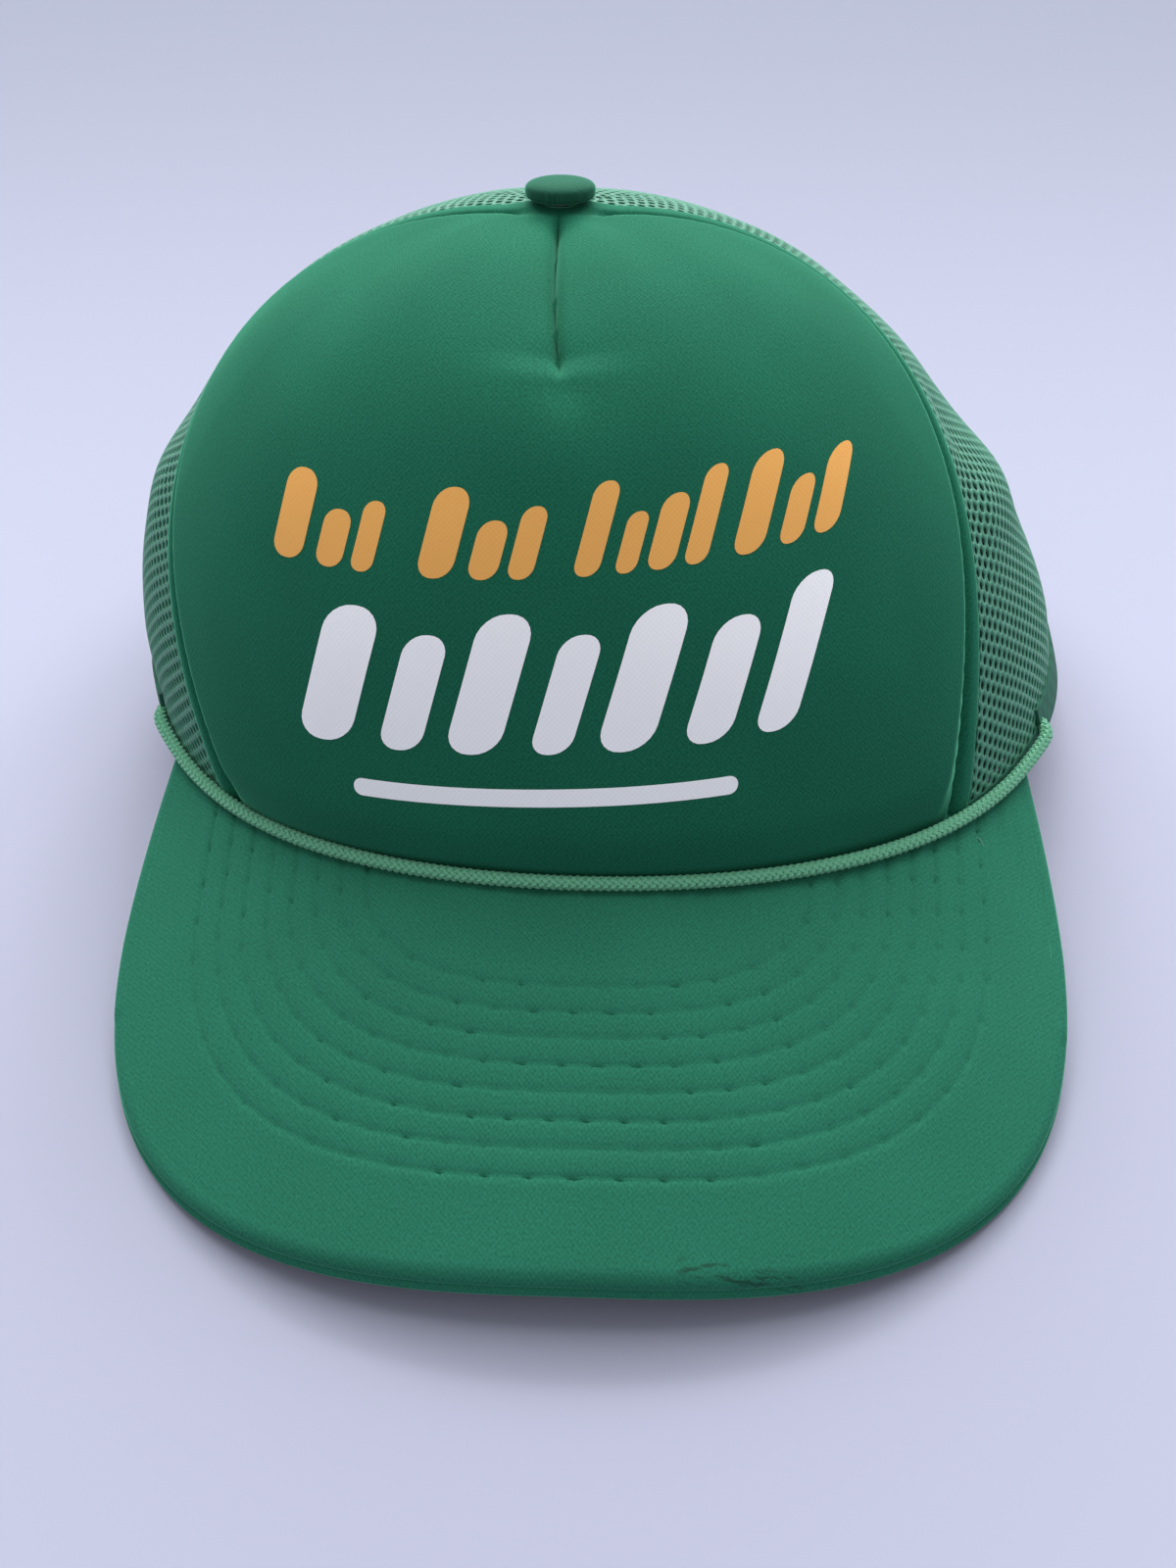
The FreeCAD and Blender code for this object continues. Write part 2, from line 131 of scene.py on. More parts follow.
class Finish:
    """One material: its node tree, and the method that adds a node to it."""

    def __init__(self, name, colour, roughness, **shader):
        self.material = bpy.data.materials.new(name)
        self.material.use_nodes = True
        self.tree = self.material.node_tree
        self.shader = self.tree.nodes["Principled BSDF"]
        self.set("Base Color", (*colour, 1.0))
        self.set("Roughness", roughness)
        for socket, value in shader.items():
            self.set(socket.replace("_", " ").title().replace("Ior", "IOR"), value)

    def set(self, socket, value):
        self.plug(value, self.shader.inputs[socket])

    def plug(self, value, socket):
        if isinstance(value, Wire):
            self.tree.links.new(value.socket, socket)
        else:
            socket.default_value = value

    def node(self, kind, settings, values, output=0):
        added = self.tree.nodes.new(kind)
        for key, value in settings.items():
            setattr(added, key, value)
        for key, value in values.items():
            self.plug(value, added.inputs[key])
        return Wire(self, added.outputs[output])

    def place(self, source="UV", scale=(1, 1, 1)):
        """Texture coordinates, and their x, y and z on their own."""
        coordinates = self.node("ShaderNodeTexCoord", {}, {}, source)
        scaled = self.node("ShaderNodeMapping", {}, {"Vector": coordinates, "Scale": scale})
        parts = [self.node("ShaderNodeSeparateXYZ", {}, {0: scaled}, i) for i in range(3)]
        return scaled, parts

    def ramp(self, factor, low, high, smooth=True):
        """0 where factor is under low, 1 where it is over high."""
        settings = {"interpolation_type": "SMOOTHSTEP" if smooth else "LINEAR"}
        return self.node("ShaderNodeMapRange", settings, {0: factor, 1: low, 2: high})

    def mix(self, factor, a, b, blend="MIX"):
        """Colour a where factor is 0, and b where it is 1."""
        colours = [(*c, 1.0) if isinstance(c, tuple) else c for c in (a, b)]
        settings = {"data_type": "RGBA", "blend_type": blend}
        return self.node("ShaderNodeMix", settings, {0: factor, 6: colours[0], 7: colours[1]}, 2)

    def grain(self, where, scale, detail=3.0):
        return self.node("ShaderNodeTexNoise", {}, {"Vector": where, "Scale": scale, "Detail": detail})

    def bump(self, height, strength, distance):
        values = {"Height": height, "Strength": strength, "Distance": distance}
        self.set("Normal", self.node("ShaderNodeBump", {}, values))


floor_mesh = bmesh.new()
bmesh.ops.create_grid(floor_mesh, x_segments=2, y_segments=2, size=3.0)
floor_data = bpy.data.meshes.new("floor")
floor_mesh.to_mesh(floor_data)
floor_mesh.free()
floor = bpy.data.objects.new("floor", floor_data)
scene.collection.objects.link(floor)
# The floor's colour runs from FLOOR_NEAR in front to a darker colour behind the cap: painted shade, not a
# change in the paper.
FLOOR_NEAR = (0.308, 0.316, 0.407)
FLOOR_FAR_SHADE = (0.135, 0.146, 0.192)
paper = Finish("tent_paper", FLOOR_NEAR, 0.9)
_, along = paper.place("Object")
paper.set("Base Color", paper.mix(paper.ramp(along[1], -0.05, 0.45), FLOOR_NEAR, FLOOR_FAR_SHADE))
floor_data.materials.append(paper.material)

# ==== Form of the crown ========================================================================
# The crown is an oval dome that leans back on the table and sways a little to one side, as an
# empty cap does. Every panel, seam and tape is laid on this one surface.

opening = frame["record"]["mounts"][0]
lean = math.atan2(-opening["axis"][1], -opening["axis"][2])
stand = (Matrix.Translation(opening["pos_m"]) @ Matrix.Rotation(-lean, 4, "X")
         @ Matrix.Scale(0.001, 4))

HALF_WIDTH = 100.3
FRONT_DEPTH = 92.7
BACK_DEPTH = 90.0
HEIGHT = 105.0
APEX_FORWARD = 10.5
SWAY = 8.2
SAG = 2.8
SIDE_WAIST = 0.0315
FRONT_WAIST = 0.05
TOP_TURN = math.radians(88.2)
VISOR_SEAM_Y = -91.7
VISOR_SEAM_Z = 2.3
VISOR_SLOPE = 0.415
VISOR_ARCH = 0.0031
VISOR_DROOP = 0.0017
CORNER = math.radians(65.0)


def turn(value, low, high):
    """0 below low, 1 above high, and a smooth turn between them."""
    t = min(max((value - low) / (high - low), 0.0), 1.0)
    return t * t * (3 - 2 * t)


def bell(value, width):
    return math.exp(-(value / width) ** 2)


def visor_z(x, y):
    ahead = min(y - VISOR_SEAM_Y, 0.0)
    return VISOR_SEAM_Z + VISOR_SLOPE * (y - VISOR_SEAM_Y) - VISOR_ARCH * x * x - VISOR_DROOP * ahead ** 2


def oval(phi, grow=0.0):
    depth = FRONT_DEPTH if math.cos(phi) > 0 else BACK_DEPTH
    return (HALF_WIDTH + grow) * math.sin(phi), -(depth + grow) * math.cos(phi)


def hem_z(phi):
    a = abs(phi)
    return visor_z(*oval(min(a, CORNER))) * (1 - turn(a, CORNER, 2 * CORNER))


def skin(phi, tau):
    """Point of the crown's outer face. phi is 0 in front; tau runs from hem to apex."""
    w = math.sin(tau)
    belly = math.sin(math.pi * w)
    depth = FRONT_DEPTH * (1 - FRONT_WAIST * belly) if math.cos(phi) > 0 else BACK_DEPTH
    x = HALF_WIDTH * (1 - SIDE_WAIST * belly) * math.cos(tau) * math.sin(phi) - SWAY * w - SAG * belly
    y = -depth * math.cos(tau) * math.cos(phi) - APEX_FORWARD * w
    return Vector((x, y, hem_z(phi) * (1 - w) + HEIGHT * w))


def crown(phi, tau, lift=0.0):
    """Point lift millimetres outside the crown's face."""
    step = 1e-3
    across = skin(phi + step, tau) - skin(phi - step, tau)
    up = skin(phi, tau + step) - skin(phi, tau - step)
    return skin(phi, tau) + across.cross(up).normalized() * lift


def rise(height):
    return math.asin(height / HEIGHT)


def girth(tau):
    """Millimetres along the crown for one radian of phi."""
    return HALF_WIDTH * math.cos(tau)


def front_seam(tau):
    w = math.sin(tau)
    return math.radians(49.5 + 28.7 * w + 34.4 * w * w)


def side_seam(tau):
    return math.radians(117.0 + 25.0 * math.sin(tau))


MERIDIAN = 102.0    # millimetres up the crown for one radian of tau


def grid(columns, rows):
    """Flat bmesh grid whose x and y run from 0 to 1."""
    flat = bmesh.new()
    bmesh.ops.create_grid(flat, x_segments=columns, y_segments=rows, size=0.5)
    bmesh.ops.translate(flat, verts=flat.verts, vec=(0.5, 0.5, 0))
    return flat


def mould(flat, point, cloth=None):
    """Moves each flat vertex to point(x, y); cloth(x, y) is its place on the cut cloth, in mm."""
    if cloth:
        uv = flat.loops.layers.uv.new("cloth")
        for face in flat.faces:
            for loop in face.loops:
                loop[uv].uv = cloth(loop.vert.co.x, loop.vert.co.y)
    for vert in flat.verts:
        vert.co = stand @ point(vert.co.x, vert.co.y)
    return flat


def make(mesh, name, finish, body="cap", wall=0.0, side=-1.0, weld=0.0):
    """Turns a bmesh into a piece that rides on a body."""
    if weld:
        bmesh.ops.remove_doubles(mesh, verts=mesh.verts, dist=weld)
        bmesh.ops.recalc_face_normals(mesh, faces=mesh.faces)
    data = bpy.data.meshes.new(name)
    mesh.to_mesh(data)
    mesh.free()
    data.shade_smooth()
    data.set_sharp_from_angle(angle=math.radians(55))
    data.materials.append(finish.material)
    item = bpy.data.objects.new(name, data)
    scene.collection.objects.link(item)
    if wall:
        thicken = item.modifiers.new("wall", "SOLIDIFY")
        thicken.thickness = wall * 0.001
        thicken.offset = side
    if body:
        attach(item, body)
    return item


# ==== Front panel ==============================================================================
# Polyester pique knit laminated to foam, cut in one piece. A dart under the button takes in the
# top, and a row of topstitching beside each side seam pinches the foam into a narrow puffed band.

SEAM_BAND = 6.3        # width of the puffed band between topstitching and seam
SCALLOP = 5.6          # distance between the puckers of the topstitching
STITCH_RUN = MERIDIAN * 1.35
SEAM_END = math.radians(74)
DART_TIP = 58.5        # height angle at which the dart runs out, in degrees


def knit(name, colour, fade=0.0):
    """Pique knit: staggered bright loops over dark gaps, with a little lint."""
    finish = Finish(name, colour, 0.85, specular_ior_level=0.10, sheen_weight=0.40,
                    sheen_roughness=0.32, sheen_tint=(0.25, 1.0, 0.62, 1.0))
    where, (u, v, _) = finish.place("UV")
    warp = (finish.grain(where, 0.30) - 0.5) * 2.2
    wave = 2 * math.pi
    loops = (u * wave + warp).math("COSINE") * (v * (wave / 1.08) + warp).math("COSINE")
    loops = loops * 0.5 + 0.5
    fibre = finish.grain(where, 1.9, 3.0)
    cloud = finish.grain(where, 0.035, 2.0)
    bright = finish.ramp(loops * 0.22 + fibre, 0.35, 0.95, False)
    deep = tuple(c * 0.74 for c in colour)
    light = tuple(c * 1.24 + 0.003 for c in colour)
    base = finish.mix(bright, deep, light)
    worn = tuple(1.0 + fade for _ in colour)
    base = finish.mix(finish.ramp(cloud, 0.35, 0.75), base, finish.mix(1.0, base, worn, "MULTIPLY"))
    lint = finish.ramp(finish.grain(where, 0.62, 1.0), 0.82, 0.85)
    base = finish.mix(lint * 0.2, base, tuple(c * 1.6 + 0.05 for c in colour))
    finish.set("Base Color", base)
    finish.set("Roughness", 0.90 - bright * 0.10)
    finish.bump(loops * 0.2 + fibre, 0.45, 0.00007)
    return finish


panel_knit = knit("panel_knit", (0.006, 0.098, 0.055), fade=0.10)


def dart_x(tau):
    """The dart's line drifts a little as it comes down from the button."""
    low = math.radians(DART_TIP)
    t = (tau - low) / (math.pi / 2 - low)
    return 2.4 * (1 - t) ** 3 if t < 1 else 0.0


def dart_share(tau):
    """1 along the closed dart, falling to 0 past its tip."""
    return turn(math.degrees(tau), DART_TIP - 1.0, DART_TIP + 3.0)


def scallop(along):
    return abs(math.sin(math.pi * along / SCALLOP)) ** 0.7


def front_relief(phi, tau):
    """How far the puffed panel stands off the crown's face, in millimetres."""
    inset = (front_seam(tau) - abs(phi)) * girth(tau)
    pinch = scallop(STITCH_RUN * tau)
    groove = -2.0 * bell(inset - SEAM_BAND, 0.85) * (0.6 + 0.4 * (1 - pinch))
    body = 2.6 * turn(inset, SEAM_BAND - 0.2 + 0.9 * (1 - pinch), SEAM_BAND + 6.5)
    band = 0.75 * math.sin(math.pi * min(max(inset / SEAM_BAND, 0.0), 1.0)) ** 0.6
    edge = -0.9 * bell(inset, 0.8)
    radius = girth(tau)
    across = phi * radius - dart_x(tau)
    share = dart_share(tau)
    fold = 3.0 * math.exp(-abs(across) / 0.6) + 1.4 * math.exp(-abs(across) / 3.5)
    crease = -share * (fold + 1.2 * bell(across, 11.0))
    drop = math.degrees(tau) - DART_TIP
    dimple = -0.9 * bell(across, 4.5) * bell(drop + 1.5, 3.4)
    below = 0.8 * bell(across, 16.0) * bell(drop + 11.0, 7.0)
    under_button = 1 - turn(radius, 4.0, 13.0)
    above_hem = MERIDIAN * tau
    body *= turn(above_hem, -2.0, 13.0)
    soft_edge = -0.5 * bell(above_hem, 3.0)
    soft = 0.7 * noise.noise(Vector((phi * 2.2, tau * 2.6, 0.3))) * turn(inset, 4, 20)
    total = groove + body + band + edge + crease + dimple + below + soft + soft_edge
    return total * (1 - under_button) + 1.6 * under_button


def dart_pull(phi, tau):
    """The courses of the knit rise towards the dart, so the cloth's v is drawn up beside it."""
    across = abs(phi * girth(tau) - dart_x(tau))
    share = turn(math.degrees(tau), DART_TIP - 9.0, DART_TIP + 9.0)
    return share * 9.0 * math.exp(-across / 13.0)


def front_place(u, v):
    tau = TOP_TURN * v
    return (2 * u - 1) * (front_seam(tau) - 0.004), tau


def front_point(u, v):
    phi, tau = front_place(u, v)
    return crown(phi, tau, front_relief(phi, tau))


def cut_cloth(phi, tau):
    """Place on the cut cloth, before it was sewn, in millimetres."""
    return phi * girth(tau) * 0.97, tau * MERIDIAN - dart_pull(phi, tau)


def front_cloth(u, v):
    return cut_cloth(*front_place(u, v))


front_panel = make(mould(grid(330, 150), front_point, front_cloth), "front_panel_cloth",
                   panel_knit, wall=0.9)
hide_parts("front_panel")

# ==== Print ====================================================================================
# Two rows of plain slanted bars and a line under them, screen-printed: a thin skin of ink that
# follows the knit.

ORANGE = (0.74, 0.36, 0.085)
WHITE = (0.88, 0.88, 0.92)
CLOTH_BELOW = (0.007, 0.098, 0.055)
INK_LIFT = 0.07
SLANT = 0.28
TILT = 0.05


def ink(name, colour):
    finish = Finish(name, colour, 0.62, specular_ior_level=0.3)
    where, (u, v, _) = finish.place("UV")
    wave = 2 * math.pi
    loops = (u * wave).math("COSINE") * (v * (wave / 1.08)).math("COSINE") * 0.5 + 0.5
    fibre = finish.grain(where, 3.1, 4.0)
    bare = finish.ramp(fibre + loops * 0.25, 0.36, 0.26)
    shade = finish.mix(loops * 0.5 + fibre * 0.5, tuple(c * 0.88 for c in colour), colour)
    finish.set("Base Color", finish.mix(bare * 0.30, shade, CLOTH_BELOW))
    finish.bump(loops * 0.2 + fibre, 0.4, 0.00006)
    return finish


def facing(x, z):
    """phi and tau of the front panel's point seen at x, z from the front."""
    w = z / HEIGHT
    belly = math.sin(math.pi * w)
    tau = math.asin(w)
    width = HALF_WIDTH * (1 - SIDE_WAIST * belly) * math.cos(tau)
    return math.asin((x + SWAY * w + SAG * belly) / width), tau


def bar(mesh, left, low, width, height, slant, tilt):
    """Adds one slanted bar with round ends, flat, in print millimetres."""
    others = set(mesh.verts)
    made = bmesh.ops.create_grid(mesh, x_segments=1, y_segments=1, size=0.5)["verts"]
    bmesh.ops.scale(mesh, verts=made, vec=(width, height, 1))
    bmesh.ops.bevel(mesh, geom=made, affect="VERTICES", offset=0.46 * min(width, height), segments=6,
                    profile=0.5, material=-1)
    verts = [vert for vert in mesh.verts if vert not in others]
    shear = Matrix(((1, slant, 0, 0), (tilt, 1, 0, 0), (0, 0, 1, 0), (0, 0, 0, 1)))
    bmesh.ops.transform(mesh, matrix=shear, verts=verts)
    bmesh.ops.translate(mesh, verts=verts, vec=(left + width / 2, low + height / 2, 0))


def print_row(name, finish, bars):
    mesh = bmesh.new()
    for left, low, width, height, slant, tilt in bars:
        bar(mesh, left, low, width, height, slant, tilt)
    for axis, first, last in ((0, -62, 56), (1, 14, 78)):
        for cut in range(first, last, 2):
            spot = [0, 0, 0]
            spot[axis] = cut
            normal = [0, 0, 0]
            normal[axis] = 1
            parts = mesh.verts[:] + mesh.edges[:] + mesh.faces[:]
            bmesh.ops.bisect_plane(mesh, geom=parts, plane_co=spot, plane_no=normal)

    def point(x, z):
        phi, tau = facing(x, z)
        return crown(phi, tau, front_relief(phi, tau) + INK_LIFT)

    def cloth(x, z):
        return cut_cloth(*facing(x, z))

    mould(mesh, point, cloth)
    bmesh.ops.recalc_face_normals(mesh, faces=mesh.faces)
    bmesh.ops.solidify(mesh, geom=mesh.faces[:], thickness=0.00004)
    make(mesh, name, finish)


bars = {"orange": [], "white": []}
for left, widths in ((-57.0, (6.0, 5.2, 4.2)), (-29.0, (6.6, 5.4, 4.6)), (-1.0, (4.6, 3.8, 5.0, 4.2)),
                     (27.0, (5.6, 4.4, 4.8))):
    for number, width in enumerate(widths):
        height = (14.5, 9.5, 11.5)[number % 3]
        bars["orange"].append((left, 57.5 + TILT * (left + 57), width, height, SLANT, TILT))
        left += width + 2.0
left = -51.0
for number, width in enumerate((10.5, 8.0, 10.0, 7.5, 10.0, 8.5, 7.5)):
    height = (26.0, 22.0)[number % 2]
    bars["white"].append((left, 26.5 + TILT * (left + 51), width, height, SLANT, TILT))
    left += width + 5.0
bars["white"].append((-43.5, 18.2, 71.0, 3.6, 0.0, 0.045))
print_row("print_orange", ink("ink_orange", ORANGE), bars["orange"])
print_row("print_white", ink("ink_white", WHITE), bars["white"])

# ==== Net panels ===============================================================================
# Two side and two rear panels of knitted nylon net: round holes in staggered columns. The net is
# soft and slumps outwards over the hem on both sides.

HOLE_PITCH = 2.45
HOLE_RADIUS = 0.72
CELL_SIDE = HOLE_PITCH / math.sqrt(3)
NET_WALL = 0.45
NET_LOW = 0.2
ARCH_HALF = 48.0
ARCH_HEIGHT = 54.0

net_yarn = Finish("net_yarn", (0.018, 0.150, 0.090), 0.55, sheen_weight=0.1, specular_ior_level=0.35)
where, (_, v, _) = net_yarn.place("UV")
twist = (v * (2 * math.pi / 0.42)).math("SINE") * 0.5 + 0.5
patchy = net_yarn.grain(where, 0.3, 3.0)
net_yarn.set("Base Color", net_yarn.mix(twist * 0.5 + patchy * 0.5, (0.011, 0.105, 0.062),
                                        (0.040, 0.225, 0.140)))
net_yarn.bump(twist, 0.35, 0.0001)


def slump(phi, tau):
    """Outward fall of the slack net, in millimetres, strongest low on the sides."""
    a = math.degrees(abs(phi))
    low = bell(math.degrees(tau) - 17, 13)
    belly = 2.0 * low * bell(a - 92, 26)
    fold = 2.2 * bell(math.degrees(tau) - 26 + 0.10 * (a - 90), 5.0) * bell(a - 88, 16)
    valley = -1.6 * bell(math.degrees(tau) - 36 + 0.12 * (a - 90), 6.5) * bell(a - 86, 18)
    one_side = 1.0 if phi > 0 else 0.55
    ripple = 0.5 * noise.noise(Vector((phi * 3.0, tau * 5.0, 1.7)))
    return (belly + (fold + valley) * one_side + ripple) * turn(math.degrees(tau), 2, 9)


def net_point(phi, tau, lift):
    seam_gap = min(abs(abs(phi) - front_seam(tau)), abs(abs(phi) - side_seam(tau))) * girth(tau)
    loose = turn(seam_gap, 0.0, 14.0)
    return crown(phi, tau, lift + slump(phi, tau) * loose)


def arch_inside(x, z, grow=0.0):
    return (x / (ARCH_HALF + grow)) ** 2 + (z / (ARCH_HEIGHT + grow)) ** 2 < 1


def net_panel(name, left, right, node):
    """Lays a honeycomb of round holes between two seams."""
    height = TOP_TURN * MERIDIAN
    widest = max((right(t) - left(t)) * girth(t) for t in (0, 0.3, 0.6)) / 2 + 4
    columns = 2 * int(widest / (1.5 * CELL_SIDE))
    rows = int(height / (HOLE_PITCH / 2))
    net = grid(columns, rows)
    bmesh.ops.scale(net, verts=net.verts, vec=(columns, rows, 1))
    surplus = []
    for edge in net.edges:
        a, b = edge.verts
        if abs(a.co.y - b.co.y) < 0.5 and (round(min(a.co.x, b.co.x)) + round(a.co.y)) % 2:
            surplus.append(edge)
    bmesh.ops.dissolve_edges(net, edges=surplus, use_verts=False)
    for vert in net.verts:
        column, row = round(vert.co.x), round(vert.co.y)
        push = CELL_SIDE / 4 if (column + row) % 2 == 0 else -CELL_SIDE / 4
        vert.co.x = (column - columns / 2) * 1.5 * CELL_SIDE + push
        vert.co.y = row * HOLE_PITCH / 2

    def lay(x, y):
        tau = min(max((y + NET_LOW) / MERIDIAN, 0.0), TOP_TURN)
        a, b = left(tau), right(tau)
        phi = (a + b) / 2 + x / girth(tau)
        return min(max(phi, a), b), tau, phi

    outside = []
    for face in net.faces:
        c = face.calc_center_median()
        phi, tau, free = lay(c.x, c.y)
        spot = skin(phi, tau)
        cut_away = spot.y > 0 and arch_inside(spot.x, spot.z, 2.2)
        if abs(free - phi) * girth(tau) > 0.3 or cut_away or c.y > height - HOLE_PITCH:
            outside.append(face)
    bmesh.ops.delete(net, geom=outside, context="FACES")
    whole = [f for f in net.faces if len(f.verts) == 6]
    bmesh.ops.inset_individual(net, faces=whole, thickness=CELL_SIDE * 0.866 - HOLE_RADIUS * 0.95)
    rims = list({e for f in whole for e in f.edges})
    bmesh.ops.subdivide_edges(net, edges=rims, cuts=1)
    sunk = set()
    for face in whole:
        c = face.calc_center_median()
        for vert in face.verts:
            ray = (vert.co - c).normalized()
            vert.co = c + Vector((ray.x * HOLE_RADIUS * 0.94, ray.y * HOLE_RADIUS * 1.08, 0))
            sunk.add(vert)
    for vert in sunk:
        vert.co.z = -0.14
    bmesh.ops.delete(net, geom=whole, context="FACES_ONLY")
    uv = net.loops.layers.uv.new("cloth")
    for face in net.faces:
        for loop in face.loops:
            loop[uv].uv = (loop.vert.co.x, loop.vert.co.y)
    for vert in net.verts:
        phi, tau, _ = lay(vert.co.x, vert.co.y)
        vert.co = stand @ net_point(phi, tau, vert.co.z)
    item = make(net, name, net_yarn, wall=NET_WALL)
    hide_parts(node)


def mirrored(line):
    return lambda tau: -line(tau)


def centre_back(tau):
    return math.pi


for word, lines in (("right", lambda a, b: (a, b)), ("left", lambda a, b: (mirrored(b), mirrored(a)))):
    net_panel("side_net_" + word, *lines(front_seam, side_seam), "side_mesh_" + word)
    net_panel("rear_net_" + word, *lines(side_seam, centre_back), "rear_mesh_" + word)

# ==== Foam and linings =========================================================================
# About three millimetres of open-cell foam backs the front panel. Woven tapes cover the seams inside,
# a cotton sweatband runs round the hem, and narrow binding finishes the hem and rear opening.


def plain_cloth(name, colour, scale=900.0, roughness=0.85):
    """Plain weave on Object coordinates, for the narrow tapes and linings."""
    finish = Finish(name, colour, roughness, specular_ior_level=0.25)
    where, (a, b, c) = finish.place("Object", (scale, scale, scale))
    weave = (a + b).math("SINE") * (c + a * 0.3).math("SINE") * 0.5 + 0.5
    dark = tuple(k * 0.62 for k in colour)
    finish.set("Base Color", finish.mix(weave, dark, colour))
    finish.bump(weave + finish.grain(where, 0.35) * 0.6, 0.4, 0.00015)
    return finish


def dress(node, finish):
    """Gives a CAD node its finish."""
    item = frame["nodes"][node]
    item.data.materials.clear()
    item.data.materials.append(finish.material)


FOAM_LOW = rise(3.0)
FOAM_TOP = math.radians(79)


def foam_point(u, v):
    tau = FOAM_LOW + (FOAM_TOP - FOAM_LOW) * v
    phi = (2 * u - 1) * (front_seam(tau) - 8.0 / girth(tau))
    beside = bell(phi * girth(tau) - dart_x(tau), 6.0) * turn(math.degrees(tau), 50, 56)
    return crown(phi, tau, front_relief(phi, tau) - 1.1 - 3.5 * beside)


foam_finish = Finish("foam", (0.52, 0.56, 0.50), 0.95, specular_ior_level=0.1)
where, _ = foam_finish.place("Object", (1000, 1000, 1000))
cells = foam_finish.grain(where, 1.6, 2.0)
foam_finish.set("Base Color", foam_finish.mix(cells, (0.40, 0.44, 0.38), (0.62, 0.66, 0.60)))
foam_finish.bump(cells, 0.7, 0.0003)
foam = make(mould(grid(70, 44), foam_point), "front_foam_pad", foam_finish, wall=2.6)
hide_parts("front_foam")

tape_cloth = plain_cloth("lining_tape", (0.017, 0.112, 0.069))
for node in ("seam_tape_rear", "arch_facing", "seam_tape_front_left", "seam_tape_front_right",
             "seam_tape_side_left", "seam_tape_side_right"):
    dress(node, tape_cloth)
dress("sweatband", plain_cloth("sweatband_cloth", (0.015, 0.100, 0.063), 700.0))
binding_cloth = plain_cloth("binding", (0.018, 0.119, 0.074), 1100.0, 0.75)
for node in ("arch_binding", "hem_binding_left", "hem_binding_right"):
    dress(node, binding_cloth)

for word, side in (("left", -1), ("right", 1)):
    def hem_end(u, v):
        return crown(side * math.radians(49 + 23 * u), rise(2.6) * v, 0.25)

    hem_mesh = mould(grid(40, 4), hem_end)
    bmesh.ops.recalc_face_normals(hem_mesh, faces=hem_mesh.faces)
    bmesh.ops.solidify(hem_mesh, geom=hem_mesh.faces[:], thickness=0.0003)
    make(hem_mesh, "hem_binding_end_" + word, binding_cloth)

# ==== Seam thread ==============================================================================
# Polyester sewing thread in the cap's own green, painted lighter than the cloth as a highlight along each
# thread; here along the pinched foam of the front.

# The thread is the cloth's green made lighter: a painted highlight that lets the stitch lines read as lit
# threads.
thread = Finish("thread", (0.045, 0.270, 0.170), 0.5, sheen_weight=0.1, specular_ior_level=0.4)
where, (u, v, _) = thread.place("Object", (1000, 1000, 1000))
ply = ((u + v) * 9.0).math("SINE") * 0.5 + 0.5
thread.set("Base Color", thread.mix(ply, (0.022, 0.125, 0.078), (0.055, 0.21, 0.140)))


def tube(mesh, line, radius, steps, sides=6):
    """Adds a tube round line(t), t from 0 to 1, in cap millimetres."""
    for vert in bmesh.ops.create_grid(mesh, x_segments=steps, y_segments=sides, size=0.5)["verts"]:
        t, angle = vert.co.x + 0.5, 2 * math.pi * (vert.co.y + 0.5)
        low, high = max(t - 1e-4, 0), min(t + 1e-4, 1)
        ahead = (line(high) - line(low)).normalized()
        aside = ahead.cross(Vector((0.1, 0.05, 1))).normalized()
        round_line = aside * math.cos(angle) + aside.cross(ahead) * math.sin(angle)
        vert.co = stand @ (line(t) + round_line * radius)


for word, side in (("left", -1), ("right", 1)):
    def seam_line(t):
        tau = rise(4.0) + (SEAM_END - rise(4.0)) * t
        phi = side * (front_seam(tau) - SEAM_BAND / girth(tau))
        return crown(phi, tau, front_relief(phi, tau) + 0.12 - 0.25 * (1 - scallop(STITCH_RUN * tau)))

    seam_mesh = bmesh.new()
    tube(seam_mesh, seam_line, 0.16, 260)
    seam_thread = make(seam_mesh, "seam_thread_" + word, thread, weld=1e-7)
    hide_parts("topstitch_" + word)

# ==== Visor ====================================================================================
# A moulded board between two cloths. The knit on top is rolled over the board's edge and joined
# to the under-cloth in a thin lip; eight rows of stitching hold the layers together.

VISOR_HALF_WIDTH = 94.1
VISOR_WIDEST_Y = -85.0
VISOR_FRONT_Y = -159.6
VISOR_SQUARENESS = 2.376
VISOR_TUCK = 2.5
ROWS = 8
FIRST_ROW_INSET = 16.3
ROW_PITCH = 4.97
SLOPE_SHARE = math.cos(math.atan(VISOR_SLOPE))
EDGE = ((2.4, 0.12), (1.3, 0.4), (0.5, 1.0), (0.1, 1.8), (0.35, 2.6), (0.75, 3.1), (0.45, 3.6),
        (0.1, 4.1), (0.15, 4.6), (0.5, 4.85), (1.7, 4.9))


def corner_at(inset):
    """How far out the corner of an inset line lies."""
    return oval(CORNER, -VISOR_TUCK)[0] - 0.75 * inset


def brim(t, inset):
    """Plan point of the line inset from the visor's edge; t is -1 and 1 at its corners."""
    a = abs(t)
    half = VISOR_HALF_WIDTH - inset
    front = VISOR_FRONT_Y + inset * SLOPE_SHARE
    if a < 0.8:
        q = math.pi / 2 * a / 0.8
        x = half * math.sin(q) ** (2 / VISOR_SQUARENESS)
        y = VISOR_WIDEST_Y - (VISOR_WIDEST_Y - front) * math.cos(q) ** (2 / VISOR_SQUARENESS)
    else:
        corner_x = corner_at(inset)
        reach = corner_x / (HALF_WIDTH - VISOR_TUCK)
        corner_y = -(FRONT_DEPTH - VISOR_TUCK) * math.sqrt(1 - reach ** 2)
        k = (a - 0.8) / 0.2
        x = half + (corner_x - half) * k ** 1.6
        y = VISOR_WIDEST_Y + (corner_y - VISOR_WIDEST_Y) * k
    return math.copysign(x, t), y


